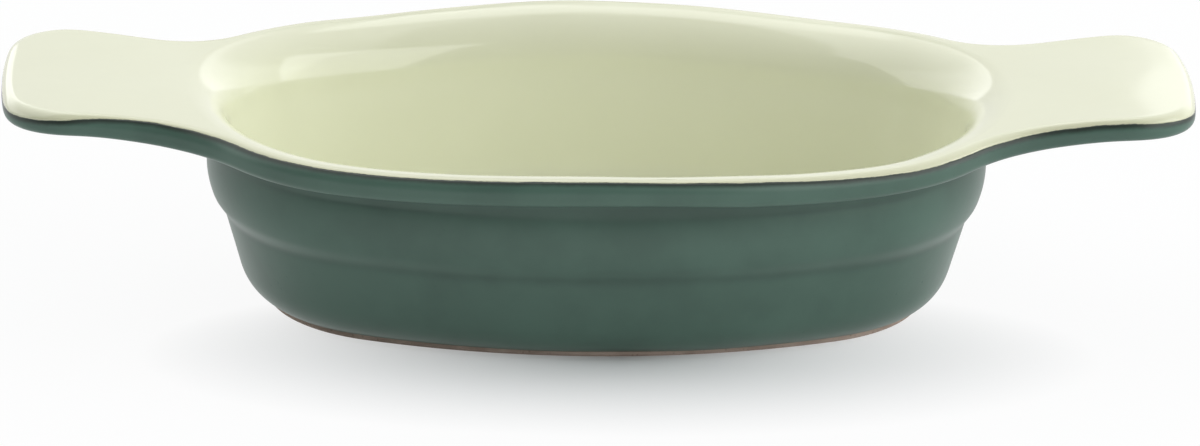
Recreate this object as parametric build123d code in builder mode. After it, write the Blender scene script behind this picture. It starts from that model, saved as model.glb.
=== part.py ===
"""Oval stoneware gratin dish with two broad lug handles.

A fired clay bowl stands on a bare oval foot and carries a wide flared rim. At both ends the rim
runs out into a flat lug that rises a little towards its tip. A cream glaze coats the inside,
the lip and the tops of the lugs. A grey-green glaze coats the outside, down to the foot.

Millimetres, Z up. The origin is the middle of the foot, at table height. X runs along the dish.
"""

import os
from math import atan2, cos, sin

from build123d import *

# Overall sizes
overall_length = 300.0
rim_height = 55.0
glaze_thickness = 0.5

# Plan of the bowl, an oval of four arcs, measured at the fullest part of the outer wall
wall_width = 123.2
end_radius_share = 0.86

# Rim
rim_overhang = 10.9
rim_thickness = 6.6
rim_dip = 1.2
rim_top_radius = 3.2
rim_bottom_radius = 2.0
cove_radius = 5.0
roll_radius = 13.0

# Lugs, with their length from the rim's oval to the tip
lug_length = 40.7
lug_thickness = 5.9
lug_rise = 4.0
neck_width = 67.6
neck_blend_radius = 30.0
paddle_width = 74.8
paddle_corner_radius = 20.0
tip_bulge = 4.0
lug_root_gap = 2.0

# Where the rim dips, climbs and levels out, along the half length of the dish
dip_place_share = 0.53
climb_place_share = 0.72
climb_height_share = 0.33
level_place_share = 0.9

# Outer wall from the foot up: heights, and insets from the fullest part
base_height = 9.5
base_inset = 8.3
step_height = 24.0
step_inset = 4.2
ledge_height = 27.5
ledge_inset = 1.7
fullest_height = 35.0
shoulder_height = 41.5
shoulder_inset = 0.6

underside_inset = 14.6

# Foot
foot_height = 1.6
foot_inset = 15.4
foot_width = 6.5
foot_chamfer = 0.5

# Inside
wall_thickness = 5.6
floor_thickness = 6.4
inner_corner_radius = 13.0

# The two glazes meet below the top of the rim
glaze_line_drop = 1.6

# Working values: cuts run past the clay, and the middle is filled inside the swept wall
overrun = 20.0
core_inset = 32.0
core_overlap = 4.0

half_length = overall_length / 2
half_wall = half_length - lug_length - rim_overhang
wall_top = rim_height - rim_thickness / 2
lug_root = half_wall + cove_radius + lug_root_gap


def oval_radii(inset):
    """End radius, side radius, and how far the centres of both arcs lie from the middle."""
    a = half_wall - inset
    b = wall_width / 2 - inset
    end_r = wall_width / 2 * end_radius_share - inset
    side_r = ((a - end_r) ** 2 / (b - end_r) + end_r + b) / 2
    return end_r, side_r, a - end_r, side_r - b


def oval_join(inset):
    """Point in the first quarter where the end arc meets the side arc."""
    end_r, side_r, end_x, side_y = oval_radii(inset)
    reach = side_r - end_r
    return end_x + end_r * end_x / reach, end_r * side_y / reach


def oval(inset):
    """The bowl's plan moved in by the inset, drawn from the +X end and back to it."""
    end_r, side_r = oval_radii(inset)[:2]
    x, y = oval_join(inset)
    end = half_wall - inset
    with BuildLine() as line:
        RadiusArc((end, 0), (x, y), -end_r)
        RadiusArc((x, y), (-x, y), -side_r)
        ThreePointArc((-x, y), (-end, 0), (-x, -y))
        RadiusArc((-x, -y), (x, -y), -side_r)
        RadiusArc((x, -y), (end, 0), -end_r)
    return line.wires()[0]


def paddle_corner(neck_x, skin):
    """Corner of the paddle before it is rounded, where its moved side meets its moved tip."""
    run = half_length - tip_bulge - neck_x
    flare = (paddle_width - neck_width) / 2
    side_turn = 2 * atan2(flare, run)
    tip_turn = 2 * atan2(tip_bulge, paddle_width / 2)
    spread = cos(side_turn - tip_turn)
    back = skin * (cos(side_turn) - sin(tip_turn)) / spread
    down = skin * (cos(tip_turn) + sin(side_turn)) / spread
    return half_length - tip_bulge - back, paddle_width / 2 - down


def rim_outline(skin):
    """Rim and lugs from above, all in tangent arcs, moved in by the skin."""
    end_r, side_r, end_x = oval_radii(skin - rim_overhang)[:3]
    side = wall_width / 2 + rim_overhang - skin
    join = oval_join(skin - rim_overhang)
    neck_y = neck_width / 2 - skin
    blend_r = neck_blend_radius + skin
    blend_y = neck_y + blend_r
    blend_reach = end_r + blend_r
    neck_x = end_x + (blend_reach**2 - blend_y**2) ** 0.5
    leave = (end_x + end_r * (neck_x - end_x) / blend_reach, end_r * blend_y / blend_reach)
    corner = paddle_corner(neck_x, skin)
    tip = half_length - skin
    with BuildSketch() as outline:
        with BuildLine():
            for x in (1, -1):
                for y in (1, -1):
                    turn = x * y
                    join_point = (x * join[0], y * join[1])
                    leave_point = (x * leave[0], y * leave[1])
                    neck_point = (x * neck_x, y * neck_y)
                    corner_point = (x * corner[0], y * corner[1])
                    RadiusArc((0, y * side), join_point, turn * side_r)
                    RadiusArc(join_point, leave_point, turn * end_r)
                    RadiusArc(leave_point, neck_point, -turn * blend_r)
                    TangentArc(neck_point, corner_point, tangent=(x, 0))
                ThreePointArc((x * corner[0], corner[1]), (x * tip, 0), (x * corner[0], -corner[1]))
        make_face()
        ends = outline.vertices().group_by(Axis.X)
        fillet(ends[0] + ends[-1], paddle_corner_radius - skin)
    return outline.sketch


def side_points(middle, lug):
    """A line of the rim seen from the side: a slight dip each way, then the climb to the lug."""
    right = [
        (half_length * dip_place_share, middle - rim_dip),
        (half_length * climb_place_share, middle + (lug - middle) * climb_height_share),
        (half_length * level_place_share, lug),
        (half_length, lug),
        (half_length + overrun, lug),
    ]
    return [(-x, z) for x, z in reversed(right)] + [(0, middle)] + right


def rim_side(top_drop, bottom_lift):
    """Section of the rim and lugs between their top line and their bottom line."""
    top = side_points(rim_height - top_drop, rim_height + lug_rise - top_drop)
    bottom = side_points(
        rim_height - rim_thickness + bottom_lift,
        rim_height + lug_rise - lug_thickness + bottom_lift,
    )
    with BuildSketch(Plane.XZ) as section:
        with BuildLine():
            Spline(*top)
            Spline(*bottom)
            Line(top[0], bottom[0])
            Line(top[-1], bottom[-1])
        make_face()
    return section.sketch


def wall_section(skin):
    """Section of the solid bowl, from its core out to the outer wall, at the +X end."""
    outside = half_wall - skin
    bottom = foot_height + skin
    with BuildSketch(Plane.XZ) as section:
        with BuildLine():
            Polyline(
                (outside - underside_inset, bottom),
                (half_wall - core_inset, bottom),
                (half_wall - core_inset, wall_top),
                (outside - shoulder_inset, wall_top),
                (outside - shoulder_inset, shoulder_height),
            )
            ThreePointArc(
                (outside - shoulder_inset, shoulder_height),
                (outside, fullest_height),
                (outside - ledge_inset, ledge_height),
            )
            Polyline(
                (outside - ledge_inset, ledge_height),
                (outside - step_inset, step_height),
                (outside - base_inset, base_height),
            )
            TangentArc(
                (outside - base_inset, base_height),
                (outside - underside_inset, bottom),
                tangent=(step_inset - base_inset, base_height - step_height),
            )
        make_face()
    return section.sketch


def hollow_section(grow):
    """Section of the hollow, from its core out to the inner wall, grown into the clay."""
    inside = half_wall - wall_thickness + grow
    floor = floor_thickness - grow
    roll_z = rim_height - roll_radius
    with BuildSketch(Plane.XZ) as section:
        with BuildLine():
            Polyline(
                (inside, roll_z),
                (inside - base_inset + shoulder_inset, floor),
                (half_wall - core_inset, floor),
                (half_wall - core_inset, rim_height + overrun),
                (inside, rim_height + overrun),
                (inside, roll_z),
            )
        make_face()
        corner = section.vertices().group_by(Axis.Y)[0].sort_by(Axis.X)[-1]
        fillet(corner, inner_corner_radius + grow)
    return section.sketch


def rim_faces(dish):
    """The rim's underside and its top."""
    sides = dish.faces().filter_by(GeomType.EXTRUSION).sort_by(SortBy.AREA)[-2:]
    return sides.sort_by(Axis.Z)


def hollow(grow):
    """The hollow of the bowl as a solid."""
    with BuildPart() as space:
        with BuildSketch(Plane.XZ):
            add(hollow_section(grow))
        sweep(path=oval(0))
        with BuildSketch(Plane.XY.offset(floor_thickness - grow)):
            make_face(oval(core_inset - core_overlap).edges())
        extrude(amount=rim_height + overrun - floor_thickness + grow)
    return space.part


def dish_form(skin):
    """The whole dish above its foot, with every face moved in by the skin."""
    with BuildPart() as dish:
        with BuildSketch():
            add(rim_outline(skin))
        extrude(amount=rim_height + lug_rise + overrun)
        with BuildSketch(Plane.XZ.offset(-wall_width)):
            add(rim_side(skin, skin))
        extrude(amount=wall_width * 2, mode=Mode.INTERSECT)
        with BuildSketch(Plane.XZ):
            add(wall_section(skin))
        sweep(path=oval(0))
        with BuildSketch(Plane.XY.offset(foot_height + skin)):
            make_face(oval(core_inset - core_overlap).edges())
        extrude(amount=wall_top - foot_height - skin)
        fillet(rim_faces(dish)[0].inner_wires()[0].edges(), cove_radius + skin)
        fillet(rim_faces(dish)[0].outer_wire().edges(), rim_bottom_radius - skin)
        fillet(rim_faces(dish)[1].outer_wire().edges(), rim_top_radius - skin)
        add(hollow(skin), mode=Mode.SUBTRACT)
        fillet(rim_faces(dish)[1].inner_wires()[0].edges(), roll_radius - skin)
    return dish.part


def foot_section():
    """Section of the bare foot, with both lower edges chamfered, at the +X end."""
    outside = half_wall - foot_inset
    inside = outside - foot_width
    top = foot_height + glaze_thickness
    with BuildSketch(Plane.XZ) as section:
        with BuildLine():
            Polyline(
                (outside, top),
                (outside, foot_chamfer),
                (outside - foot_chamfer, 0),
                (inside + foot_chamfer, 0),
                (inside, foot_chamfer),
                (inside, top),
                (outside, top),
            )
        make_face()
    return section.sketch


def cream_side():
    """Everything that the cream glaze covers: above the glaze line, or inside the clay's middle."""
    middle = wall_thickness / 2
    roll_x = half_wall - wall_thickness + roll_radius
    roll_z = rim_height - roll_radius
    crest_z = roll_z + roll_radius - middle
    line = side_points(rim_height - glaze_line_drop, rim_height + lug_rise - glaze_line_drop)
    above = rim_height + lug_rise + overrun
    with BuildPart() as side:
        add(hollow(middle))
        with BuildSketch(Plane.XZ):
            with BuildLine():
                Polyline(
                    (half_wall - middle, roll_z),
                    (half_wall - core_inset, roll_z),
                    (half_wall - core_inset, above),
                    (roll_x, above),
                    (roll_x, crest_z),
                )
                RadiusArc((roll_x, crest_z), (half_wall - middle, roll_z), middle - roll_radius)
            make_face()
        sweep(path=oval(0))
        with BuildSketch(Plane.XZ.offset(-wall_width)):
            with BuildLine():
                Spline(*line)
                Polyline(line[-1], (line[-1][0], above), (line[0][0], above), line[0])
            make_face()
        extrude(amount=wall_width * 2)
    return side.part


finished = dish_form(0)
clay = dish_form(glaze_thickness)
cream = cream_side()

with BuildPart() as bowl:
    add(clay)
    split(bisect_by=Plane.YZ.offset(lug_root), keep=Keep.BOTTOM)
    split(bisect_by=Plane.YZ.offset(-lug_root), keep=Keep.TOP)

with BuildPart() as right_lug:
    add(clay)
    split(bisect_by=Plane.YZ.offset(lug_root), keep=Keep.TOP)

with BuildPart() as left_lug:
    add(clay)
    split(bisect_by=Plane.YZ.offset(-lug_root), keep=Keep.BOTTOM)

with BuildPart() as foot_ring:
    with BuildSketch(Plane.XZ):
        add(foot_section())
    sweep(path=oval(0))

with BuildPart() as base_glaze:
    with BuildSketch(Plane.XY.offset(foot_height)):
        make_face(oval(foot_inset + foot_width).edges())
    extrude(amount=glaze_thickness)

with BuildPart() as coat:
    add(finished)
    add(clay, mode=Mode.SUBTRACT)
    with BuildSketch():
        make_face(oval(foot_inset).edges())
    extrude(amount=foot_height + glaze_thickness, mode=Mode.SUBTRACT)

with BuildPart() as inner_glaze:
    add(coat.part)
    add(cream, mode=Mode.INTERSECT)

with BuildPart() as outer_glaze:
    add(coat.part)
    add(cream, mode=Mode.SUBTRACT)

pieces = {
    "bowl": bowl,
    "foot_ring": foot_ring,
    "left_lug": left_lug,
    "right_lug": right_lug,
    "inner_glaze": inner_glaze,
    "outer_glaze": outer_glaze,
    "base_glaze": base_glaze,
}
os.makedirs("parts", exist_ok=True)
for name, piece in pieces.items():
    piece.part.label = name
    export_step(piece.part, "parts/" + name + ".step")
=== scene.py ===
"""Looks of an oval stoneware gratin dish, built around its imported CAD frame.

Both glazes are closed shells worked out from the dish's plan and section. The clay pieces and the
recessed base keep their CAD meshes. The file is laid out as a Blender add-on and run as a script.
Lengths are in metres.
"""

from math import atan2, cos, pi, radians, sin, tan

import bpy
import numpy as np
from bpy.props import FloatProperty, FloatVectorProperty, IntProperty, PointerProperty
from mathutils import Matrix, Vector


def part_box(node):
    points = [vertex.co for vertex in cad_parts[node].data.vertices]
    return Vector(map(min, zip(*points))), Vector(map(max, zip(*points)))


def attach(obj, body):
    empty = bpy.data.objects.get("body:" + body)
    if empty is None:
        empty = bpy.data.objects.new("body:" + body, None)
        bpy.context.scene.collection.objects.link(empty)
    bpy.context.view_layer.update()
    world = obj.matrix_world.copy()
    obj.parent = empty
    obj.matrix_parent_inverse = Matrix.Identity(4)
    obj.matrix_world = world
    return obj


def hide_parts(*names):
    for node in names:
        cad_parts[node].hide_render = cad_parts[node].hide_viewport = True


bl_info = {
    "name": "Gratin Dish",
    "version": (1, 0, 0),
    "blender": (4, 5, 0),
    "location": "View3D > Sidebar > Gratin Dish",
    "description": "Glazes, bare clay and studio for an oval gratin dish around its CAD frame",
    "category": "Object",
}

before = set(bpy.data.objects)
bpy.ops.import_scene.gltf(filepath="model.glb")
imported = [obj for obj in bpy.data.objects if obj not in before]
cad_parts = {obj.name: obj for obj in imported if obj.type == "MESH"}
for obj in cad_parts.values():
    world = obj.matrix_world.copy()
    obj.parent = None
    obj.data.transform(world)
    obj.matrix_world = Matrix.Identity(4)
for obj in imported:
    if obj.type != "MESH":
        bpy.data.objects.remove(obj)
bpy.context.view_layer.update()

MM = 0.001
COAT = 0.5 * MM

# Places read from the CAD boxes
RIM_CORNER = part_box("outer_glaze")[1]
FOOT_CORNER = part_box("foot_ring")[1]
FLOOR_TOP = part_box("inner_glaze")[0].z + COAT
BASE_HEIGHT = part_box("base_glaze")[0].z

# Where the rim dips, climbs and levels out, as shares of the dish's half length
RIM_PLACE_SHARES = (0.53, 0.72, 0.9, 1.0, 1.13)
CLIMB_SHARE = 0.33

# How far the glaze line lies below the top of the rim, from the left tip to the right tip
LINE_PLACE_SHARES = (-1.0, -0.93, -0.84, -0.7, -0.4, 0.0, 0.4, 0.62, 0.78, 0.9, 1.0)
LINE_DROPS = tuple(
    drop * MM for drop in (2.5, 2.0, 0.8, 0.45, 0.35, 0.35, 0.8, 1.4, 1.2, 1.2, 2.4)
)

# Outer wall below its shoulder: insets from its fullest part, and heights
SHOULDER = (0.6 * MM, 41.5 * MM)
FULLEST = (0.0, 35.0 * MM)
LEDGE = (1.7 * MM, 27.5 * MM)
STEP = (4.2 * MM, 24.0 * MM)
BASE = (8.3 * MM, 9.5 * MM)
UNDERSIDE_INSET = 14.6 * MM

# How much further in the inner wall stands at the floor than below the roll
BASE_INSET_INSIDE = 7.7 * MM

# Rows of points on each stretch of the inside, from the glaze line to the middle of the floor, the
# last ring's share of the floor, and the passes that ease the rows
EDGE_ROWS = 9
FLAT_ROWS = 26
ROLL_ROWS = 26
INSIDE_ROWS = 26
CORNER_ROWS = 17
FLOOR_ROWS = 9
FLOOR_LAST_SHARE = 0.1
INSIDE_PASSES = 6

# The same for the outside, from the rim's upright edge to the foot
GAP_ROWS = 2
LOWER_EDGE_ROWS = 8
UNDER_ROWS = 22
COVE_ROWS = 10
BULGE_ROWS = 20
LEDGE_ROWS = 5
DRAW_IN_ROWS = 18
TURN_UNDER_ROWS = 14
OUTSIDE_PASSES = 1


def size(name, description, default):
    """A property that holds a length in metres."""
    return FloatProperty(
        name=name, description=description, default=default, unit="LENGTH", precision=5
    )


def paint(name, description, default):
    """A property that holds a colour."""
    return FloatVectorProperty(
        name=name, description=description, default=default, subtype="COLOR", min=0, max=1
    )


class GratinDishShape(bpy.types.PropertyGroup):
    """Sizes of the glazed surface: those of the CAD solids, but for fuller corners on the lugs."""

    half_length: size("Half length", "From the middle to the tip of a lug", RIM_CORNER.x)
    half_width: size("Half width", "From the middle to the edge of the rim", RIM_CORNER.y)
    rim_height: size("Rim height", "Top of the rim at the middle of a long side", 55 * MM)
    rim_thickness: size("Rim thickness", "Thickness of the rim", 6.6 * MM)
    rim_overhang: size("Rim overhang", "How far the rim stands out past the wall", 10.9 * MM)
    rim_dip: size("Rim dip", "How far the rim dips before the lugs", 1.2 * MM)
    rim_top_radius: size("Top edge", "Rounding of the rim's upper edge", 3.2 * MM)
    rim_bottom_radius: size("Bottom edge", "Rounding of the rim's lower edge", 2 * MM)
    cove_radius: size("Cove", "Hollow curve between rim and wall", 5 * MM)
    roll_radius: size("Roll", "Round of the lip down into the bowl", 13 * MM)
    lug_rise: size("Lug rise", "How far a lug's tip stands above the rim", 4 * MM)
    lug_thickness: size("Lug thickness", "Thickness of a lug", 5.9 * MM)
    neck_width: size("Neck width", "Width of a lug where it is narrowest", 67.6 * MM)
    neck_blend: size("Neck blend", "Radius of the hollow curve from rim to neck", 30 * MM)
    paddle_width: size("Paddle width", "Width of a lug near its tip", 74.8 * MM)
    paddle_corner: size("Paddle corner", "Radius of a lug's corners", 16 * MM)
    tip_bulge: size("Tip bulge", "How far a lug's tip bows out", 4 * MM)
    foot_inset: size("Foot inset", "From the fullest wall in to the foot", 15.4 * MM)
    wall_thickness: size("Wall thickness", "Wall with both glazes", 5.6 * MM)
    inner_corner: size("Inner corner", "Radius between inner wall and floor", 13 * MM)
    coat: size("Coat", "Thickness of a glaze", COAT)
    ripple: size("Ripple", "Slow unevenness of the surface", 0.08 * MM)
    end_share: FloatProperty(
        name="End share", description="End radius as a share of the wall's half width", default=0.86
    )
    around: IntProperty(name="Around", description="Points around the dish", default=640)


class GratinDishGlaze(bpy.types.PropertyGroup):
    """Colours of the glazes and the clay."""

    cream: paint("Cream", "Cream glaze", (0.795, 0.815, 0.62))
    # Thin cream: partly thinner glaze, partly painted shade where the rounded edge of rim and lugs
    # turns from the light
    cream_thin_and_shade: paint("Thin cream", "Cream glaze where it runs thin", (0.62, 0.63, 0.42))
    green: paint("Green", "Grey-green glaze", (0.076, 0.148, 0.113))
    green_deep: paint("Deep green", "Grey-green glaze where it pools", (0.05, 0.1, 0.076))
    # Line: dark where the glazes meet, and spread below as painted shade on the green's rounded
    # edge
    line: paint("Line", "Dark line where the glazes meet", (0.012, 0.016, 0.012))
    clay: paint("Clay", "Bare fired clay", (0.55, 0.43, 0.36))
    clay_dark: paint("Dark clay", "Sandy specks in the clay", (0.33, 0.24, 0.19))


class GratinDishStudio(bpy.types.PropertyGroup):
    """Camera and lights."""

    elevation: FloatProperty(
        name="Elevation", description="Camera's height as an angle", subtype="ANGLE",
        default=radians(18.82),
    )
    azimuth: FloatProperty(
        name="Azimuth", description="Camera's turn around the dish", subtype="ANGLE",
        default=radians(-2.4),
    )
    roll: FloatProperty(
        name="Roll", description="Camera's tilt", subtype="ANGLE", default=radians(1.05)
    )
    distance: size("Distance", "From the rim's middle to the camera", 2.3)
    target_height: size("Target height", "Height of the point that the camera is set by", 55 * MM)
    back_left: FloatProperty(name="Back left", description="Left softbox in watts", default=20.5)
    back_right: FloatProperty(name="Back right", description="Right softbox in watts", default=12.8)
    fill: FloatProperty(name="Fill", description="Front softbox in watts", default=12)


def settings(context):
    """The three property groups of the scene."""
    scene = context.scene
    return scene.gratin_dish_shape, scene.gratin_dish_glaze, scene.gratin_dish_studio


# Plan curves

# Points of a curve while it is softened, and the step between the points of an arc
DENSE = 4096
ARC_STEP = 0.2 * MM

# Widths of the bells that soften the fullest wall and the rim
OVAL_SOFTNESS = 4 * MM
RIM_SOFTNESS = 2 * MM

# How fast the matching point of the wall turns at a lug's tip, as a share of its even pace
TIP_PACE = 0.9


def arc(centre, radius, start, end):
    """Plan points on a circle from one angle up to, but not at, the other."""
    count = max(2, int(abs(end - start) * radius / ARC_STEP))
    angle = start + (end - start) * np.arange(count) / count
    return np.stack([centre[0] + radius * np.cos(angle), centre[1] + radius * np.sin(angle)], -1)


def angle_from(centre, point):
    """Angle of the way from one plan point to another."""
    return atan2(point[1] - centre[1], point[0] - centre[0])


def meeting(first, first_radius, second, second_radius):
    """The point with the larger x where two circles cross.

    It lies some way along the line of centres, and then square to it.
    """
    first, second = np.array(first), np.array(second)
    apart = np.linalg.norm(second - first)
    along = (apart**2 + first_radius**2 - second_radius**2) / (2 * apart)
    aside = (first_radius**2 - along**2) ** 0.5
    way = (second - first) / apart
    square = np.array([-way[1], way[0]])
    foot = first + way * along
    return max((foot + turn * square * aside for turn in (1, -1)), key=lambda point: point[0])


def whole(quarter):
    """A closed curve from its first quarter, which runs from the +X axis to the +Y axis."""
    half = np.concatenate([quarter, quarter[-2::-1] * (-1, 1)])
    return np.concatenate([half[:-1], -half[:-1]])


def whole_run(quarter):
    """The same for a distance that grows along the quarter from 0."""
    half = np.concatenate([quarter, 2 * quarter[-1] - quarter[-2::-1]])
    return np.concatenate([half[:-1], half[:-1] + 2 * quarter[-1]])


def lengths_along(points):
    """Distance along a closed curve to each of its points, and all the way round."""
    gaps = np.linalg.norm(np.roll(points, -1, 0) - points, axis=1)
    return np.cumsum(gaps) - gaps, gaps.sum()


def read_at(places, run, total, values):
    """Values of a closed curve at other distances along it."""
    return np.stack([np.interp(places, run, column, period=total) for column in values.T], -1)


def softened(points, width):
    """An even closed curve averaged with a bell of that width.

    A wave of frequency f shrinks by exp(-(2 pi width f)^2 / 2).
    """
    total = lengths_along(points)[1]
    waves = np.fft.rfftfreq(len(points), d=total / len(points))
    damp = np.exp(-((2 * pi * width * waves) ** 2) / 2)
    return np.fft.irfft(np.fft.rfft(points, axis=0) * damp[:, None], n=len(points), axis=0)


def with_normals(points):
    """A closed plan curve, anticlockwise, and its outward normals."""
    along = np.roll(points, -1, 0) - np.roll(points, 1, 0)
    normals = np.stack([along[:, 1], -along[:, 0]], -1)
    return points, normals / np.linalg.norm(normals, axis=1, keepdims=True)


def read_softened(curve, width, places):
    """Points and normals of a closed curve, softened by a bell of that width, along its length."""
    run, total = lengths_along(curve)
    even = total * np.arange(DENSE) / DENSE
    points, normals = with_normals(softened(read_at(even, run, total, curve), width))
    normals = read_at(places, even, total, normals)
    points = read_at(places, even, total, points)
    return points, normals / np.linalg.norm(normals, axis=1, keepdims=True)


def lug_outline(shape, end_c, rim_r):
    """Half a lug from its tip to the rim's end arc, and the angle at which it meets the arc."""
    neck_y, blend = shape.neck_width / 2, shape.neck_blend
    neck_x = end_c[0] + ((rim_r + blend) ** 2 - (neck_y + blend) ** 2) ** 0.5
    blend_c = (neck_x, neck_y + blend)
    half_paddle, bulge = shape.paddle_width / 2, shape.tip_bulge
    tip_r = (half_paddle**2 + bulge**2) / (2 * bulge)
    tip_c = (shape.half_length - tip_r, 0)
    flare, run = half_paddle - neck_y, shape.half_length - bulge - neck_x
    flare_r = (run**2 + flare**2) / (2 * flare)
    flare_c = (neck_x, neck_y + flare_r)
    corner_r = shape.paddle_corner
    corner_c = meeting(tip_c, tip_r - corner_r, flare_c, flare_r + corner_r)
    lug = np.concatenate([
        arc(tip_c, tip_r, 0, angle_from(tip_c, corner_c)),
        arc(corner_c, corner_r, angle_from(tip_c, corner_c), angle_from(corner_c, flare_c)),
        arc(flare_c, flare_r, angle_from(flare_c, corner_c), -pi / 2),
        arc(blend_c, blend, -pi / 2, angle_from(blend_c, end_c)),
    ])
    return lug, angle_from(end_c, blend_c)


def lug_turn(lug, last, leave, rim_r):
    """How far round the wall's end each point of half a lug is matched.

    The turn is a cubic over the distance from the tip, and reaches the angle leave at the last
    point, where it keeps pace with the rim's end arc.
    """
    run = lengths_along(lug)[0]
    total = run[-1] + np.linalg.norm(last - lug[-1])
    t = run / total
    tip_pace, leave_pace = TIP_PACE * leave, total / rim_r
    return (
        leave * (3 * t**2 - 2 * t**3)
        + tip_pace * (t**3 - 2 * t**2 + t)
        + leave_pace * (t**3 - t**2)
    )


def plan(shape):
    """Matching points around the dish, with their normals: of the fullest wall, and of the rim.

    The wall is an oval of two end arcs and two side arcs. The rim runs parallel to it and leaves
    it by a hollow arc at each neck for the lug's flaring sides, rounded corners and bowed tip.
    Each point of the rim is matched with a point of the wall: along the rim at the same normal,
    and round a lug by a cubic that spreads the wall's end evenly. Both curves are softened, as
    clay is.
    """
    a = FOOT_CORNER.x + shape.foot_inset
    b = shape.half_width - shape.rim_overhang
    end_r = b * shape.end_share
    side_r = ((a - end_r) ** 2 / (b - end_r) + end_r + b) / 2
    end_x, side_y = a - end_r, side_r - b
    meet = atan2(side_y, end_x)
    end_c, side_c = (end_x, 0), (0, -side_y)
    oval_quarter = [arc(end_c, end_r, 0, meet), arc(side_c, side_r, meet, pi / 2), [[0, b]]]
    oval = whole(np.concatenate(oval_quarter))

    rim_r = end_r + shape.rim_overhang
    lug, leave = lug_outline(shape, end_c, rim_r)
    rim_end = arc(end_c, rim_r, leave, meet)
    rim_side = arc(side_c, side_r + shape.rim_overhang, meet, pi / 2)
    rim_side = np.concatenate([rim_side, [[0, shape.half_width]]])
    outline = whole(np.concatenate([lug, rim_end, rim_side]))

    turn = lug_turn(lug, rim_end[0], leave, rim_r)
    end_turn = np.arctan2(rim_end[:, 1], rim_end[:, 0] - end_x)
    side_turn = np.arctan2(rim_side[:, 1] + side_y, rim_side[:, 0])
    matched = whole_run(np.concatenate([
        end_r * turn, end_r * end_turn, end_r * meet + side_r * (side_turn - meet),
    ]))

    run, total = lengths_along(outline)
    places = total * np.arange(shape.around) / shape.around
    matched_end = matched[0] + lengths_along(oval)[1]
    matched_places = np.interp(places, np.append(run, total), np.append(matched, matched_end))
    return (
        read_softened(oval, OVAL_SOFTNESS, matched_places),
        read_softened(outline, RIM_SOFTNESS, places),
    )


# Heights and sections

# Step over which a slope is taken, and the rounds that settle it
NUDGE = 0.1 * MM
SLOPE_ROUNDS = 4


def spline(knots, values, x):
    """Natural cubic spline through values at knots.

    Its second derivatives m solve h0 m0 + 2 (h0 + h1) m1 + h1 m2 = 6 (s1 - s0), with h the gaps
    between the knots and s the slopes across them.
    """
    knots, values = np.array(knots), np.array(values)
    gap = np.diff(knots)
    slope = np.diff(values) / gap
    inner = np.arange(1, len(knots) - 1)
    table = np.eye(len(knots))
    table[inner, inner - 1] = gap[:-1]
    table[inner, inner] = 2 * (gap[:-1] + gap[1:])
    table[inner, inner + 1] = gap[1:]
    right = np.zeros(len(knots))
    right[inner] = 6 * np.diff(slope)
    m = np.linalg.solve(table, right)
    i = np.clip(np.searchsorted(knots, x) - 1, 0, len(gap) - 1)
    t = x - knots[i]
    first = slope[i] - gap[i] * (2 * m[i] + m[i + 1]) / 6
    return values[i] + t * first + t**2 * m[i] / 2 + t**3 * (m[i + 1] - m[i]) / (6 * gap[i])


def rim_line(shape, middle, lug):
    """Height over x of a line of the rim: it dips, climbs by a third and levels out on the lug."""
    right = [shape.half_length * share for share in RIM_PLACE_SHARES]
    heights = [middle - shape.rim_dip, middle + (lug - middle) * CLIMB_SHARE, lug, lug, lug]
    knots = [-x for x in right[::-1]] + [0] + right
    values = heights[::-1] + [middle] + heights
    return lambda x: spline(knots, values, x)


def stand_out(curve, out, height):
    """Rows of points that stand out from a plan curve along its normals, at the given heights."""
    points, normals = curve
    out = np.broadcast_to(out, (len(out), len(points)))[..., None]
    height = np.broadcast_to(height, out.shape[:2])[..., None]
    return np.concatenate([points + normals * out, height], -1)


def rounding(curve, centre_out, radius, level, upward, facing, share):
    """Rows of an arc from an upright face to the surface z = level(x), touched at share 1.

    The arc's centre stands out from the curve by centre_out. At share 0 the arc is level with its
    centre, outward of it if facing is 1 and inward if -1. It touches the surface above its centre
    if upward is 1 and below if -1, square to the surface's slope along the normal.
    """
    points, normals = curve
    touch = np.full(len(points), centre_out)
    for _ in range(SLOPE_ROUNDS):
        x = points[:, 0] + normals[:, 0] * touch
        slope = (level(x + NUDGE) - level(x - NUDGE)) / (2 * NUDGE) * normals[:, 0]
        touch = centre_out - upward * radius * slope / np.sqrt(1 + slope**2)
    centre_z = level(x) - upward * radius / np.sqrt(1 + slope**2)
    start = 0 if facing > 0 else pi
    turn = start + (upward * pi / 2 + np.arctan(slope) - start) * share
    return stand_out(curve, centre_out + radius * np.cos(turn), centre_z + radius * np.sin(turn))


def shares(count, start=0.0, end=1.0):
    """A column of even steps from start to end."""
    return np.linspace(start, end, count)[:, None]


def between(first, last, count):
    """Rows of straight steps between two rings, neither included."""
    return first + (last - first) * shares(count + 2)[1:-1, :, None]


def eased(rows, passes):
    """Rows averaged with their neighbours by 1, 2, 1, that many times, the end rows kept."""
    for _ in range(passes):
        rows[1:-1] = (rows[:-2] + 2 * rows[1:-1] + rows[2:]) / 4
    return rows


def glaze_line(shape, outline):
    """How far round the rim's upper edge the glaze line lies, as a share of the quarter turn."""
    knots = [shape.half_length * share for share in LINE_PLACE_SHARES]
    drop = spline(knots, LINE_DROPS, outline[0][:, 0])
    return np.arcsin(np.clip(1 - drop / shape.rim_top_radius, 0, 1)) * 2 / pi


def uneven(points, normals, height):
    """Points moved along their normals by three slow crossed waves, as on a hand-finished surface.

    The number under x, y or z is a wavelength in metres, and the number added is a phase.
    """
    x, y, z = (2 * pi * points[..., i] for i in range(3))
    waves = (
        np.sin(x / 0.061 + y / 0.14 + 0.4)
        + np.sin(y / 0.053 - x / 0.19 + z / 0.09 + 1.9)
        + np.sin(x / 0.037 + y / 0.043 - z / 0.071 + 4.1) / 2
    )
    return points + normals * (height * waves)[..., None]


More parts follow.
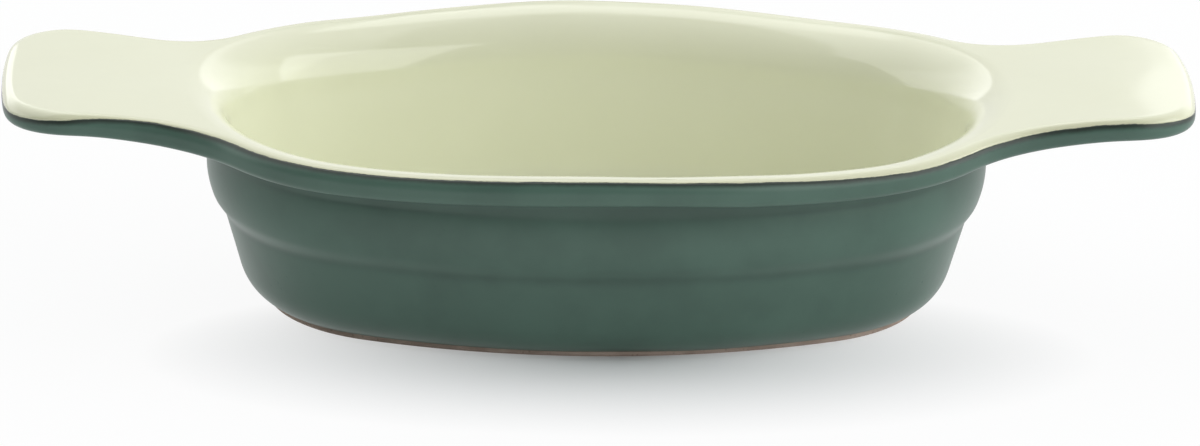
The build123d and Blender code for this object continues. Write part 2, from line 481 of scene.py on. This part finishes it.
def grid_normals(rows):
    """Unit normals of rows of rings: along the ring crossed with down the rows."""
    around = np.roll(rows, -1, 1) - np.roll(rows, 1, 1)
    normals = np.cross(around, np.gradient(rows, axis=0))
    return normals / np.linalg.norm(normals, axis=-1, keepdims=True)


def cream_rows(shape, oval, outline):
    """Cream surface: from the glaze line over the rim and lugs, and down the roll to the floor."""
    top = rim_line(shape, shape.rim_height, shape.rim_height + shape.lug_rise)
    start = glaze_line(shape, outline)
    edge_shares = start + (1 - start) * shares(EDGE_ROWS)
    edge = rounding(outline, -shape.rim_top_radius, shape.rim_top_radius, top, 1, 1, edge_shares)
    roll_out = shape.roll_radius - shape.wall_thickness
    roll = rounding(oval, roll_out, shape.roll_radius, top, 1, -1, shares(ROLL_ROWS, 1, 0))
    flat = between(edge[-1], roll[0], FLAT_ROWS)
    flat[..., 2] = top(flat[..., 0])

    corner = shape.inner_corner
    lean = atan2(BASE_INSET_INSIDE, shape.rim_height - shape.roll_radius - FLOOR_TOP)
    tangent = corner * tan((pi / 2 - lean) / 2)
    floor_out = -shape.wall_thickness - BASE_INSET_INSIDE - tangent
    turn = -lean + (lean - pi / 2) * shares(CORNER_ROWS)
    bend_out, bend_height = corner * np.cos(turn), corner * np.sin(turn)
    bend = stand_out(oval, floor_out + bend_out, FLOOR_TOP + corner + bend_height)
    wall = between(roll[-1], bend[0], INSIDE_ROWS)
    bowl = eased(np.concatenate([roll, wall, bend]), INSIDE_PASSES)
    floor = np.repeat(bowl[-1:], FLOOR_ROWS, 0)
    floor[..., :2] *= shares(FLOOR_ROWS + 1, 1, FLOOR_LAST_SHARE)[1:, :, None]
    return np.concatenate([edge, flat, bowl, floor])


def tangent_curve(start, way, end, count):
    """Curve from start to end that leaves along the way: a parabola about its tangents' corner."""
    start, end = np.array(start), np.array(end)
    way = np.array(way) / np.linalg.norm(way)
    chord = end - start
    corner = start + way * (chord @ chord) / (2 * (way @ chord))
    t = shares(count)
    return start * (1 - t) ** 2 + 2 * corner * t * (1 - t) + end * t**2


def straight(start, end, count):
    """Even steps from start up to, but not at, end."""
    return np.array(start) + (np.array(end) - start) * shares(count + 1)[:-1]


def wall_profile():
    """Outer wall from the shoulder down to the foot, as insets and heights.

    It bulges in a parabola through three of its points, steps in below the ledge, and draws in
    straight to the base, where it turns under in a curve.
    """
    heights = shares(BULGE_ROWS, SHOULDER[1], LEDGE[1])[:-1, 0]
    insets_known, heights_known = zip(SHOULDER, FULLEST, LEDGE)
    bulge = np.polyfit(heights_known, insets_known, 2)
    under = (UNDERSIDE_INSET, BASE_HEIGHT)
    return np.concatenate([
        np.stack([np.polyval(bulge, heights), heights], -1),
        straight(LEDGE, STEP, LEDGE_ROWS),
        straight(STEP, BASE, DRAW_IN_ROWS),
        tangent_curve(BASE, np.subtract(BASE, STEP), under, TURN_UNDER_ROWS),
    ])


def green_rows(shape, oval, outline):
    """Green surface: from the glaze line round the rim's edge, under it and down the wall."""
    top = rim_line(shape, shape.rim_height, shape.rim_height + shape.lug_rise)
    bottom = rim_line(
        shape,
        shape.rim_height - shape.rim_thickness,
        shape.rim_height + shape.lug_rise - shape.lug_thickness,
    )
    start = glaze_line(shape, outline)
    upper, lower = shape.rim_top_radius, shape.rim_bottom_radius
    edge = rounding(outline, -upper, upper, top, 1, 1, start * shares(EDGE_ROWS, 1, 0))
    lip = rounding(outline, -lower, lower, bottom, -1, 1, shares(LOWER_EDGE_ROWS))
    cove_out = shape.cove_radius - SHOULDER[0]
    cove = rounding(oval, cove_out, shape.cove_radius, bottom, 1, -1, shares(COVE_ROWS, 1, 0))
    under = between(lip[-1], cove[0], UNDER_ROWS)
    under[..., 2] = bottom(under[..., 0])
    profile = wall_profile()
    wall = stand_out(oval, -profile[:, :1], profile[:, 1:])
    wall = np.concatenate([cove, between(cove[-1], wall[0], GAP_ROWS), wall])
    foot = stand_out(oval, np.array([[-shape.foot_inset]]), np.array([[BASE_HEIGHT]]))
    return np.concatenate([
        edge, between(edge[-1], lip[0], GAP_ROWS), lip, under, eased(wall, OUTSIDE_PASSES), foot,
    ])


# Meshes

# Rows from one row of a shell's hidden side to the next, and how the curvature is evened
BACK_STRIDE = 4
BEND_PASSES = 3
SHORTEST_STEP = 0.2 * MM


def ring_faces(rings, around, looped):
    """Four-sided faces between neighbouring rings, and from the last to the first if looped."""
    row = np.arange(rings if looped else rings - 1)[:, None]
    column = np.arange(around)[None, :]
    below = (row + 1) % rings
    beside = (column + 1) % around
    near, far = row * around, below * around
    corners = [near + column, near + beside, far + beside, far + column]
    return np.stack(corners, -1).reshape(-1, 4)


def build_mesh(name, rings, poles, flipped, values):
    """A closed mesh from rings of points, with a point at each end if it has poles.

    values holds one number for each point of the rings, for each of its named attributes.
    """
    count, around = rings.shape[:2]
    faces = ring_faces(count, around, looped=not poles).tolist()
    points = rings.reshape(-1, 3)
    if poles:
        first, last = len(points), len(points) + 1
        points = np.concatenate([points, [rings[0].mean(0), rings[-1].mean(0)]])
        column = np.arange(around)
        beside = np.roll(column, -1)
        final = (count - 1) * around
        faces += np.stack([np.full(around, first), beside, column], -1).tolist()
        faces += np.stack([np.full(around, last), final + column, final + beside], -1).tolist()
    if flipped:
        faces = [face[::-1] for face in faces]
    mesh = bpy.data.meshes.new(name)
    mesh.from_pydata(points.tolist(), [], faces)
    mesh.polygons.foreach_set("use_smooth", np.ones(len(mesh.polygons), bool))
    for label, value in values.items():
        extra = [value[0].mean(), value[-1].mean()] if poles else []
        attribute = mesh.attributes.new(label, "FLOAT", "POINT")
        attribute.data.foreach_set("value", np.append(value.reshape(-1), extra).astype(np.float32))
    mesh.update()
    return mesh


def glaze_shell(name, rows, shape, outward, poles):
    """A coat of glaze as a closed shell: the surface, and some of its rows set in by the coat.

    Two attributes follow the surface: the distance from the glaze line, and the curvature down the
    rows, positive on ridges, which is the second difference along the normal over the step squared.
    """
    normals = outward * grid_normals(rows)
    rows = uneven(rows, normals, shape.ripple)
    steps = np.linalg.norm(np.diff(rows, axis=0), axis=-1)
    depth = np.concatenate([np.zeros((1, shape.around)), np.cumsum(steps, axis=0)])
    bend = np.zeros(depth.shape)
    second = rows[:-2] + rows[2:] - 2 * rows[1:-1]
    step = (steps[1:] + steps[:-1]) / 2
    bend[1:-1] = -(second * normals[1:-1]).sum(-1) / np.maximum(step, SHORTEST_STEP) ** 2 * MM
    bend = eased(bend, BEND_PASSES)
    back_rows = np.unique(np.append(np.arange(0, len(rows), BACK_STRIDE), len(rows) - 1))
    inner = rows - normals * shape.coat

    def both(front, back):
        """The back's rows in reverse, before the front's if the shell has poles and else after."""
        back = back[back_rows][::-1]
        return np.concatenate([back, front] if poles else [front, back])

    spread = {"glaze_depth": -outward * both(depth, depth), "glaze_bend": both(bend, bend)}
    return build_mesh(name, both(rows, inner), poles, outward < 0, spread)


def add_piece(context, name, mesh, material, slot, *nodes):
    """An object for a mesh that stands for CAD nodes and rides with the dish."""
    piece = bpy.data.objects.new(name, mesh)
    context.scene.collection.objects.link(piece)
    mesh.materials.append(material)
    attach(piece, "root")
    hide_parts(*nodes)
    return piece


# Shader nodes

# Gloss: how strongly each glaze mirrors, how rough each surface is, and how much a pit adds
CREAM_IOR = 1.6
GREEN_IOR = 1.48
CREAM_ROUGHNESS = 0.1
GREEN_ROUGHNESS = 0.36
BASE_ROUGHNESS = 0.4
CLAY_ROUGHNESS = (0.75, 0.95)
PIT_ROUGHNESS = 0.2

# Where masks start and end, and the most that they reach
LINE_BLUR = 0.12 * MM
# The seam's reach and darkness: a dark line at the glaze edge, and painted shade on the rounded
# edge below it
SEAM_RISE = (-0.2, 0.15)
SEAM_SHADE_FALL = (0.5, 2.2)
SEAM_SHADE_MOST = 0.85
# Darker cream near the glaze line: partly thin glaze, partly painted shade on the rounded edge
THIN_AND_SHADE_REACH = 3.2 * MM
THIN_AND_SHADE_MOST = 0.7
HOLLOWS = (0.03, -0.15)
POOLED_MOST = 0.6
PATCHES = (0.45, 0.62)
PITS = (0.4, 1.0)
CLOUDS = (0.35, 0.68)
SPECKS = (0.1, 0.3)
SPECK_MOST = 0.5
GRAINS = (0.3, 0.7)

# Values of Glaze Skin that all glazes share, and the depths of bumps
SKIN = {"Peel Scale": 450.0, "Peel": 0.5, "Pit Scale": 330.0}
SKIN_DEPTH = 0.08 * MM
GRAIN_DEPTH = 0.1 * MM


def add(tree, kind, values=None, **options):
    """A node with its options set and its inputs linked, where a value is a socket, or set."""
    node = tree.nodes.new(kind)
    for key, value in options.items():
        setattr(node, key, value)
    for key, value in (values or {}).items():
        if isinstance(value, bpy.types.NodeSocket):
            tree.links.new(value, node.inputs[key])
        else:
            node.inputs[key].default_value = value
    return node


def maths(tree, operation, *values):
    """Result of a Math node."""
    return add(tree, "ShaderNodeMath", dict(enumerate(values)), operation=operation).outputs[0]


def ramp(tree, value, low, high, to_low=0.0, to_high=1.0):
    """A value spread smoothly from one range to another."""
    values = {
        "Value": value, "From Min": low, "From Max": high, "To Min": to_low, "To Max": to_high,
    }
    return add(tree, "ShaderNodeMapRange", values, interpolation_type="SMOOTHSTEP").outputs[0]


def blended(tree, factor, first, second):
    """Colour between two colours."""
    return add(tree, "ShaderNodeMix", {0: factor, 6: first, 7: second}, data_type="RGBA").outputs[2]


def noise(tree, place, scale, detail=2.0, roughness=0.5):
    """Noise between 0 and 1 at a place."""
    values = {"Vector": place, "Scale": scale, "Detail": detail, "Roughness": roughness}
    return add(tree, "ShaderNodeTexNoise", values).outputs["Fac"]


def group(name, inputs, outputs):
    """A new shader node group with its sockets, and its two end nodes."""
    tree = bpy.data.node_groups.new(name, "ShaderNodeTree")
    for label, kind, default in inputs:
        tree.interface.new_socket(label, in_out="INPUT", socket_type=kind).default_value = default
    for label, kind in outputs:
        tree.interface.new_socket(label, in_out="OUTPUT", socket_type=kind)
    return tree, tree.nodes.new("NodeGroupInput").outputs, tree.nodes.new("NodeGroupOutput").inputs


def use(tree, name, values):
    """A group placed in a material, with its own values."""
    return add(tree, "ShaderNodeGroup", values, node_tree=bpy.data.node_groups[name]).outputs


def object_place(tree):
    """Object coordinates."""
    return add(tree, "ShaderNodeTexCoord").outputs["Object"]


def attribute(tree, name):
    """A number stored on the mesh."""
    return add(tree, "ShaderNodeAttribute", attribute_name=name).outputs["Fac"]


def make_glaze_line_group():
    """Glaze Line: the green side of a ragged line, and a dark seam just under it whose tail is
    painted shade.

    Noise moves the line by a share of Ragged. The seam rises at the line and fades out past its
    width.
    """
    tree, given, result = group(
        "Glaze Line",
        [("Ragged", "NodeSocketFloat", 0.3 * MM), ("Seam", "NodeSocketFloat", 0.6 * MM)],
        [("Green", "NodeSocketFloat"), ("Seam", "NodeSocketFloat")],
    )
    place = object_place(tree)
    coarse = maths(tree, "SUBTRACT", noise(tree, place, scale=120.0), 0.5)
    fine = maths(tree, "SUBTRACT", noise(tree, place, scale=900.0, detail=3.0), 0.5)
    wander = maths(tree, "ADD", maths(tree, "MULTIPLY", coarse, 2.0), fine)
    moved = maths(tree, "MULTIPLY_ADD", wander, given["Ragged"], attribute(tree, "glaze_depth"))
    tree.links.new(ramp(tree, moved, -LINE_BLUR, LINE_BLUR), result["Green"])
    past = maths(tree, "DIVIDE", moved, given["Seam"])
    rise = ramp(tree, past, *SEAM_RISE)
    fall = ramp(tree, past, *SEAM_SHADE_FALL, 1.0, 0.0)
    tree.links.new(maths(tree, "MULTIPLY", rise, fall), result["Seam"])


def make_glaze_skin_group():
    """Glaze Skin: height of a soft orange peel with pits, and a mask of the pits."""
    tree, given, result = group(
        "Glaze Skin",
        [
            ("Peel Scale", "NodeSocketFloat", 500.0),
            ("Peel", "NodeSocketFloat", 1.0),
            ("Pit Scale", "NodeSocketFloat", 350.0),
            ("Pit Size", "NodeSocketFloat", 0.16),
        ],
        [("Height", "NodeSocketFloat"), ("Pits", "NodeSocketFloat")],
    )
    place = object_place(tree)
    peel = maths(tree, "MULTIPLY", noise(tree, place, given["Peel Scale"]), given["Peel"])
    cells = add(tree, "ShaderNodeTexVoronoi", {"Vector": place, "Scale": given["Pit Scale"]})
    patches = ramp(tree, noise(tree, place, scale=60.0), *PATCHES)
    near = maths(tree, "DIVIDE", cells.outputs["Distance"], given["Pit Size"])
    pits = maths(tree, "MULTIPLY", ramp(tree, near, *PITS, 1.0, 0.0), patches)
    tree.links.new(maths(tree, "SUBTRACT", peel, pits), result["Height"])
    tree.links.new(pits, result["Pits"])


def make_mottle_group():
    """Mottle: a colour that drifts to another in soft clouds, more where a mask is high."""
    tree, given, result = group(
        "Mottle",
        [
            ("Colour", "NodeSocketColor", (0.5, 0.5, 0.5, 1)),
            ("Other", "NodeSocketColor", (0.3, 0.3, 0.3, 1)),
            ("Scale", "NodeSocketFloat", 25.0),
            ("Amount", "NodeSocketFloat", 0.5),
            ("Mask", "NodeSocketFloat", 0.0),
        ],
        [("Colour", "NodeSocketColor")],
    )
    place = object_place(tree)
    clouds = ramp(tree, noise(tree, place, given["Scale"], detail=4.0, roughness=0.55), *CLOUDS)
    drift = maths(tree, "MULTIPLY", clouds, given["Amount"])
    both = {0: drift, 1: given["Mask"]}
    total = add(tree, "ShaderNodeMath", both, operation="ADD", use_clamp=True).outputs[0]
    tree.links.new(blended(tree, total, given["Colour"], given["Other"]), result["Colour"])


def new_material(name):
    """A node material with its shader and output, emptied of the rest."""
    material = bpy.data.materials.new(name)
    material.use_nodes = True
    tree = material.node_tree
    tree.nodes.clear()
    shader = tree.nodes.new("ShaderNodeBsdfPrincipled")
    output = tree.nodes.new("ShaderNodeOutputMaterial")
    tree.links.new(shader.outputs[0], output.inputs["Surface"])
    return material, tree, shader


def add_bump(tree, shader, height, strength, depth):
    """A bump on the shader's normal."""
    bump = add(tree, "ShaderNodeBump", {"Strength": strength, "Distance": depth, "Height": height})
    tree.links.new(bump.outputs[0], shader.inputs["Normal"])


def opaque(colour):
    """A colour property as a socket's four values."""
    return (*colour, 1.0)


def mottled(tree, colour, other, scale, amount, mask=0.0):
    """A colour property that drifts to another."""
    values = {
        "Colour": opaque(colour), "Other": opaque(other),
        "Scale": scale, "Amount": amount, "Mask": mask,
    }
    return use(tree, "Mottle", values)["Colour"]


def cream_look(tree, glaze):
    """Cream glaze's colour: soft clouds, and darker towards the glaze line as thinner glaze and
    painted shade.
    """
    thin = ramp(tree, attribute(tree, "glaze_depth"), -THIN_AND_SHADE_REACH, 0.0, to_high=THIN_AND_SHADE_MOST)
    return mottled(tree, glaze.cream, glaze.cream_thin_and_shade, scale=22.0, amount=0.08, mask=thin)


def green_look(tree, glaze):
    """Green glaze's colour: soft clouds, and pooled dark in hollows."""
    pooled = ramp(tree, attribute(tree, "glaze_bend"), *HOLLOWS, to_high=POOLED_MOST)
    return mottled(tree, glaze.green, glaze.green_deep, scale=40.0, amount=0.5, mask=pooled)


def two_glaze_material(name, glaze, ior):
    """Both glazes and the line between them, so that the two coats match where they meet.

    The ior sets how strongly the coat mirrors what is around it.
    """
    material, tree, shader = new_material(name)
    line = use(tree, "Glaze Line", {"Ragged": 0.3 * MM, "Seam": 0.8 * MM})
    green = green_look(tree, glaze)
    skin = use(tree, "Glaze Skin", {**SKIN, "Pit Size": 0.13})
    colour = blended(tree, line["Green"], cream_look(tree, glaze), green)
    # Seam: a dark line where the glazes meet, widened into painted shade over the green's rounded
    # edge
    seam = maths(tree, "MULTIPLY", line["Seam"], SEAM_SHADE_MOST)
    colour = blended(tree, seam, colour, opaque(glaze.line))
    tree.links.new(colour, shader.inputs["Base Color"])
    rough = maths(tree, "MULTIPLY_ADD", skin["Pits"], PIT_ROUGHNESS, GREEN_ROUGHNESS)
    more = maths(tree, "SUBTRACT", rough, CREAM_ROUGHNESS)
    mixed_rough = maths(tree, "MULTIPLY_ADD", line["Green"], more, CREAM_ROUGHNESS)
    tree.links.new(mixed_rough, shader.inputs["Roughness"])
    smooth = noise(tree, object_place(tree), scale=120.0, detail=1.0)
    heights = {0: line["Green"], 2: smooth, 3: skin["Height"]}
    height = add(tree, "ShaderNodeMix", heights, data_type="FLOAT").outputs[0]
    add_bump(tree, shader, height, strength=0.35, depth=SKIN_DEPTH)
    shader.inputs["IOR"].default_value = ior
    return material


def base_material(glaze):
    """Green glaze alone, on the recessed base."""
    material, tree, shader = new_material("Green glaze of the base")
    colour = mottled(tree, glaze.green, glaze.green_deep, scale=40.0, amount=0.6)
    tree.links.new(colour, shader.inputs["Base Color"])
    skin = use(tree, "Glaze Skin", {**SKIN, "Pit Size": 0.15})
    rough = maths(tree, "MULTIPLY_ADD", skin["Pits"], PIT_ROUGHNESS, BASE_ROUGHNESS)
    tree.links.new(rough, shader.inputs["Roughness"])
    add_bump(tree, shader, skin["Height"], strength=0.4, depth=SKIN_DEPTH)
    return material


def clay_material(glaze):
    """Bare fired clay: sandy grains and dark specks, matt."""
    material, tree, shader = new_material("Bare clay")
    place = object_place(tree)
    cells = add(tree, "ShaderNodeTexVoronoi", {"Vector": place, "Scale": 700.0})
    specks = ramp(tree, cells.outputs["Distance"], *SPECKS, SPECK_MOST, 0.0)
    colour = mottled(tree, glaze.clay, glaze.clay_dark, scale=160.0, amount=0.5, mask=specks)
    tree.links.new(colour, shader.inputs["Base Color"])
    grain = noise(tree, place, scale=2200.0, detail=3.0)
    tree.links.new(ramp(tree, grain, *GRAINS, *CLAY_ROUGHNESS), shader.inputs["Roughness"])
    add_bump(tree, shader, grain, strength=0.5, depth=GRAIN_DEPTH)
    return material


# Stage

# The photo's frame in pixels, its scale at the target, and the pixel that the target falls on
PHOTO_WIDTH = 1200
PHOTO_HEIGHT = 446
SENSOR = 36.0
PIXELS_PER_METRE = 3974.0
TARGET_PIXEL = (598.3, 87.8)

# Name and property of each softbox, its azimuth and elevation in degrees, and its two sides
SOFTBOXES = (
    ("Back left", "back_left", 145, 41, 2.6, 2.1),
    ("Back right", "back_right", 34, 41, 2.7, 2.1),
    ("Front fill", "fill", 331, 28, 1.7, 1.2),
)
LIGHT_DISTANCE = 1.4
LIGHT_AIM = (0, 0, 40 * MM)

# The floor's shadow shows in an oval and fades out towards its edge
FLOOR_REACH = 6.0
FLOOR_COLOUR = (0.88, 0.91, 0.92, 1)
SHADOW_PLACE = (5 * MM, -46 * MM)
SHADOW_REACH = (120 * MM, 56 * MM)
SHADOW_FADE = 0.93

# The mirrored background is full below the first height and dim above the second, and it goes
# from dim in front of the dish to full behind
WHITE = (1, 1, 1, 1)
SWEEP_HEIGHTS = (sin(radians(24)), sin(radians(34)))
FRONT_AND_BACK = (-0.6, 0.1)
DIM = 0.3
ROOM_LIGHT = 0.2


def add_camera(context, studio):
    """The photo's camera, turned so that the target in the middle of the rim falls on its pixel."""
    focal = PIXELS_PER_METRE * studio.distance
    data = bpy.data.cameras.new("Camera")
    data.sensor_fit = "HORIZONTAL"
    data.sensor_width = SENSOR
    data.lens = focal / PHOTO_WIDTH * SENSOR
    camera = bpy.data.objects.new("Camera", data)
    context.scene.collection.objects.link(camera)
    context.scene.camera = camera
    turn, rise = studio.azimuth, studio.elevation
    away = Vector((sin(turn) * cos(rise), -cos(turn) * cos(rise), sin(rise)))
    right = Vector((cos(turn), sin(turn), 0))
    tilt = Matrix.Rotation(studio.roll, 3, away)
    right, above = tilt @ right, tilt @ away.cross(right)
    aside = (PHOTO_WIDTH / 2 - TARGET_PIXEL[0]) / focal
    below = (PHOTO_HEIGHT / 2 - TARGET_PIXEL[1]) / focal
    back = (away - right * aside + above * below).normalized()
    right = above.cross(back).normalized()
    above = back.cross(right)
    turned = Matrix((right, above, back)).transposed().to_4x4()
    target = Vector((0, 0, studio.target_height))
    camera.matrix_world = Matrix.Translation(target + away * studio.distance) @ turned


def add_softbox(context, name, azimuth, elevation, width, height, watts):
    """An area light that faces the dish from an azimuth, counted from +X, and an elevation."""
    data = bpy.data.lights.new(name, "AREA")
    data.shape = "RECTANGLE"
    data.size, data.size_y = width, height
    data.energy = watts
    light = bpy.data.objects.new(name, data)
    context.scene.collection.objects.link(light)
    level = cos(elevation)
    away = Vector((level * cos(azimuth), level * sin(azimuth), sin(elevation)))
    place = Vector(LIGHT_AIM) + away * LIGHT_DISTANCE
    facing = away.to_track_quat("Z", "Y").to_matrix().to_4x4()
    light.matrix_world = Matrix.Translation(place) @ facing


def seen(tree, *rays):
    """1 for rays of the named kinds."""
    path = tree.nodes.new("ShaderNodeLightPath").outputs
    value = path[rays[0]]
    for ray in rays[1:]:
        value = maths(tree, "MAXIMUM", value, path[ray])
    return value


def floor_material():
    """A pale surface near the dish, for its shadow, that is white to look at away from it."""
    material = bpy.data.materials.new("Floor")
    material.use_nodes = True
    tree = material.node_tree
    tree.nodes.clear()
    plain = add(tree, "ShaderNodeBsdfDiffuse", {"Color": FLOOR_COLOUR})
    white = add(tree, "ShaderNodeEmission", {"Color": WHITE, "Strength": 1.0})
    spread = add(tree, "ShaderNodeMapping", {
        "Vector": object_place(tree),
        "Location": (*(-place / reach for place, reach in zip(SHADOW_PLACE, SHADOW_REACH)), 0),
        "Scale": (*(1 / reach for reach in SHADOW_REACH), 0),
    })
    away = add(tree, "ShaderNodeVectorMath", {0: spread.outputs[0]}, operation="LENGTH")
    faded = {"Value": away.outputs["Value"], "To Max": SHADOW_FADE}
    pale = add(tree, "ShaderNodeMapRange", faded).outputs[0]
    looking = seen(tree, "Is Camera Ray", "Is Glossy Ray", "Is Transmission Ray")
    share = maths(tree, "MULTIPLY", looking, pale)
    mix = add(tree, "ShaderNodeMixShader", {0: share, 1: plain.outputs[0], 2: white.outputs[0]})
    output = tree.nodes.new("ShaderNodeOutputMaterial")
    tree.links.new(mix.outputs[0], output.inputs["Surface"])
    return material


def add_floor(context):
    """A square floor under the dish."""
    signs = ((-1, -1), (1, -1), (1, 1), (-1, 1))
    corners = [(FLOOR_REACH * x, FLOOR_REACH * y, 0) for x, y in signs]
    mesh = bpy.data.meshes.new("Floor")
    mesh.from_pydata(corners, [], [(0, 1, 2, 3)])
    mesh.materials.append(floor_material())
    floor = bpy.data.objects.new("Floor", mesh)
    context.scene.collection.objects.link(floor)


def set_world(context):
    """A white background to look at, mirrored low down behind the dish, and a dim room as light."""
    world = bpy.data.worlds.new("Studio")
    context.scene.world = world
    world.use_nodes = True
    tree = world.node_tree
    tree.nodes.clear()
    generated = add(tree, "ShaderNodeTexCoord").outputs["Generated"]
    way = add(tree, "ShaderNodeSeparateXYZ", {0: generated})
    sweep = ramp(tree, way.outputs["Z"], *SWEEP_HEIGHTS, 1, DIM)
    behind = ramp(tree, way.outputs["Y"], *FRONT_AND_BACK, DIM, 1)
    backdrop = maths(tree, "MULTIPLY", sweep, behind)
    mirrored = maths(tree, "MULTIPLY", seen(tree, "Is Glossy Ray", "Is Transmission Ray"), backdrop)
    bright = maths(tree, "MAXIMUM", seen(tree, "Is Camera Ray"), mirrored)
    strength = maths(tree, "MAXIMUM", bright, ROOM_LIGHT)
    background = add(tree, "ShaderNodeBackground", {"Color": WHITE, "Strength": strength})
    output = tree.nodes.new("ShaderNodeOutputWorld")
    tree.links.new(background.outputs[0], output.inputs["Surface"])


# Operators


class GratinDishCream(bpy.types.Operator):
    """Build the cream glaze over the inside, the lip and the tops of the lugs"""

    bl_idname = "gratin_dish.cream"
    bl_label = "Cream Glaze"

    def execute(self, context):
        shape, glaze, _ = settings(context)
        oval, outline = plan(shape)
        mesh = glaze_shell("cream_glaze", cream_rows(shape, oval, outline), shape, 1, poles=True)
        material = two_glaze_material("Cream glaze", glaze, CREAM_IOR)
        add_piece(context, "cream_glaze", mesh, material, "cream_glaze", "inner_glaze")
        return {"FINISHED"}


class GratinDishGreen(bpy.types.Operator):
    """Build the green glaze over the rim's edge, the undersides of the lugs and the wall"""

    bl_idname = "gratin_dish.green"
    bl_label = "Green Glaze"

    def execute(self, context):
        shape, glaze, _ = settings(context)
        oval, outline = plan(shape)
        mesh = glaze_shell("green_glaze", green_rows(shape, oval, outline), shape, -1, poles=False)
        material = two_glaze_material("Green glaze", glaze, GREEN_IOR)
        add_piece(context, "green_glaze", mesh, material, "green_glaze", "outer_glaze")
        return {"FINISHED"}


class GratinDishClay(bpy.types.Operator):
    """Give the bare clay pieces and the recessed base their finish"""

    bl_idname = "gratin_dish.clay"
    bl_label = "Clay and Base"

    def execute(self, context):
        glaze = settings(context)[1]
        clay = clay_material(glaze)
        finishes = {name: clay for name in ("bowl", "foot_ring", "left_lug", "right_lug")}
        finishes["base_glaze"] = base_material(glaze)
        for name, material in finishes.items():
            for material_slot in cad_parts[name].material_slots:
                material_slot.material = material
        return {"FINISHED"}


class GratinDishStage(bpy.types.Operator):
    """Set the camera, lights, floor and background"""

    bl_idname = "gratin_dish.stage"
    bl_label = "Stage"

    def execute(self, context):
        studio = settings(context)[2]
        add_camera(context, studio)
        add_floor(context)
        set_world(context)
        for name, watts, azimuth, elevation, width, height in SOFTBOXES:
            turned, raised = radians(azimuth), radians(elevation)
            add_softbox(context, name, turned, raised, width, height, getattr(studio, watts))
        context.scene.view_settings.view_transform = "Standard"
        return {"FINISHED"}


class GratinDishPanel(bpy.types.Panel):
    """Lists the operators in the order in which they are run."""

    bl_idname = "VIEW3D_PT_gratin_dish"
    bl_label = "Gratin Dish"
    bl_space_type = "VIEW_3D"
    bl_region_type = "UI"
    bl_category = "Gratin Dish"

    def draw(self, context):
        for holder in settings(context):
            for name in holder.bl_rna.properties.keys():
                if name not in ("rna_type", "name"):
                    self.layout.prop(holder, name)
        for operator in OPERATORS:
            self.layout.operator(operator.bl_idname)


OPERATORS = (GratinDishCream, GratinDishGreen, GratinDishClay, GratinDishStage)
HOLDERS = (GratinDishShape, GratinDishGlaze, GratinDishStudio)


def register():
    """Register the classes and give the scene its settings."""
    for item in (*HOLDERS, *OPERATORS, GratinDishPanel):
        bpy.utils.register_class(item)
    bpy.types.Scene.gratin_dish_shape = PointerProperty(type=GratinDishShape)
    bpy.types.Scene.gratin_dish_glaze = PointerProperty(type=GratinDishGlaze)
    bpy.types.Scene.gratin_dish_studio = PointerProperty(type=GratinDishStudio)


def unregister():
    """Take away the settings and the classes."""
    for name in ("gratin_dish_shape", "gratin_dish_glaze", "gratin_dish_studio"):
        delattr(bpy.types.Scene, name)
    for item in reversed((*HOLDERS, *OPERATORS, GratinDishPanel)):
        bpy.utils.unregister_class(item)


def main():
    """Build everything in order."""
    register()
    make_glaze_line_group()
    make_glaze_skin_group()
    make_mottle_group()
    bpy.ops.gratin_dish.cream()
    bpy.ops.gratin_dish.green()
    bpy.ops.gratin_dish.clay()
    bpy.ops.gratin_dish.stage()


if __name__ == "__main__":
    main()
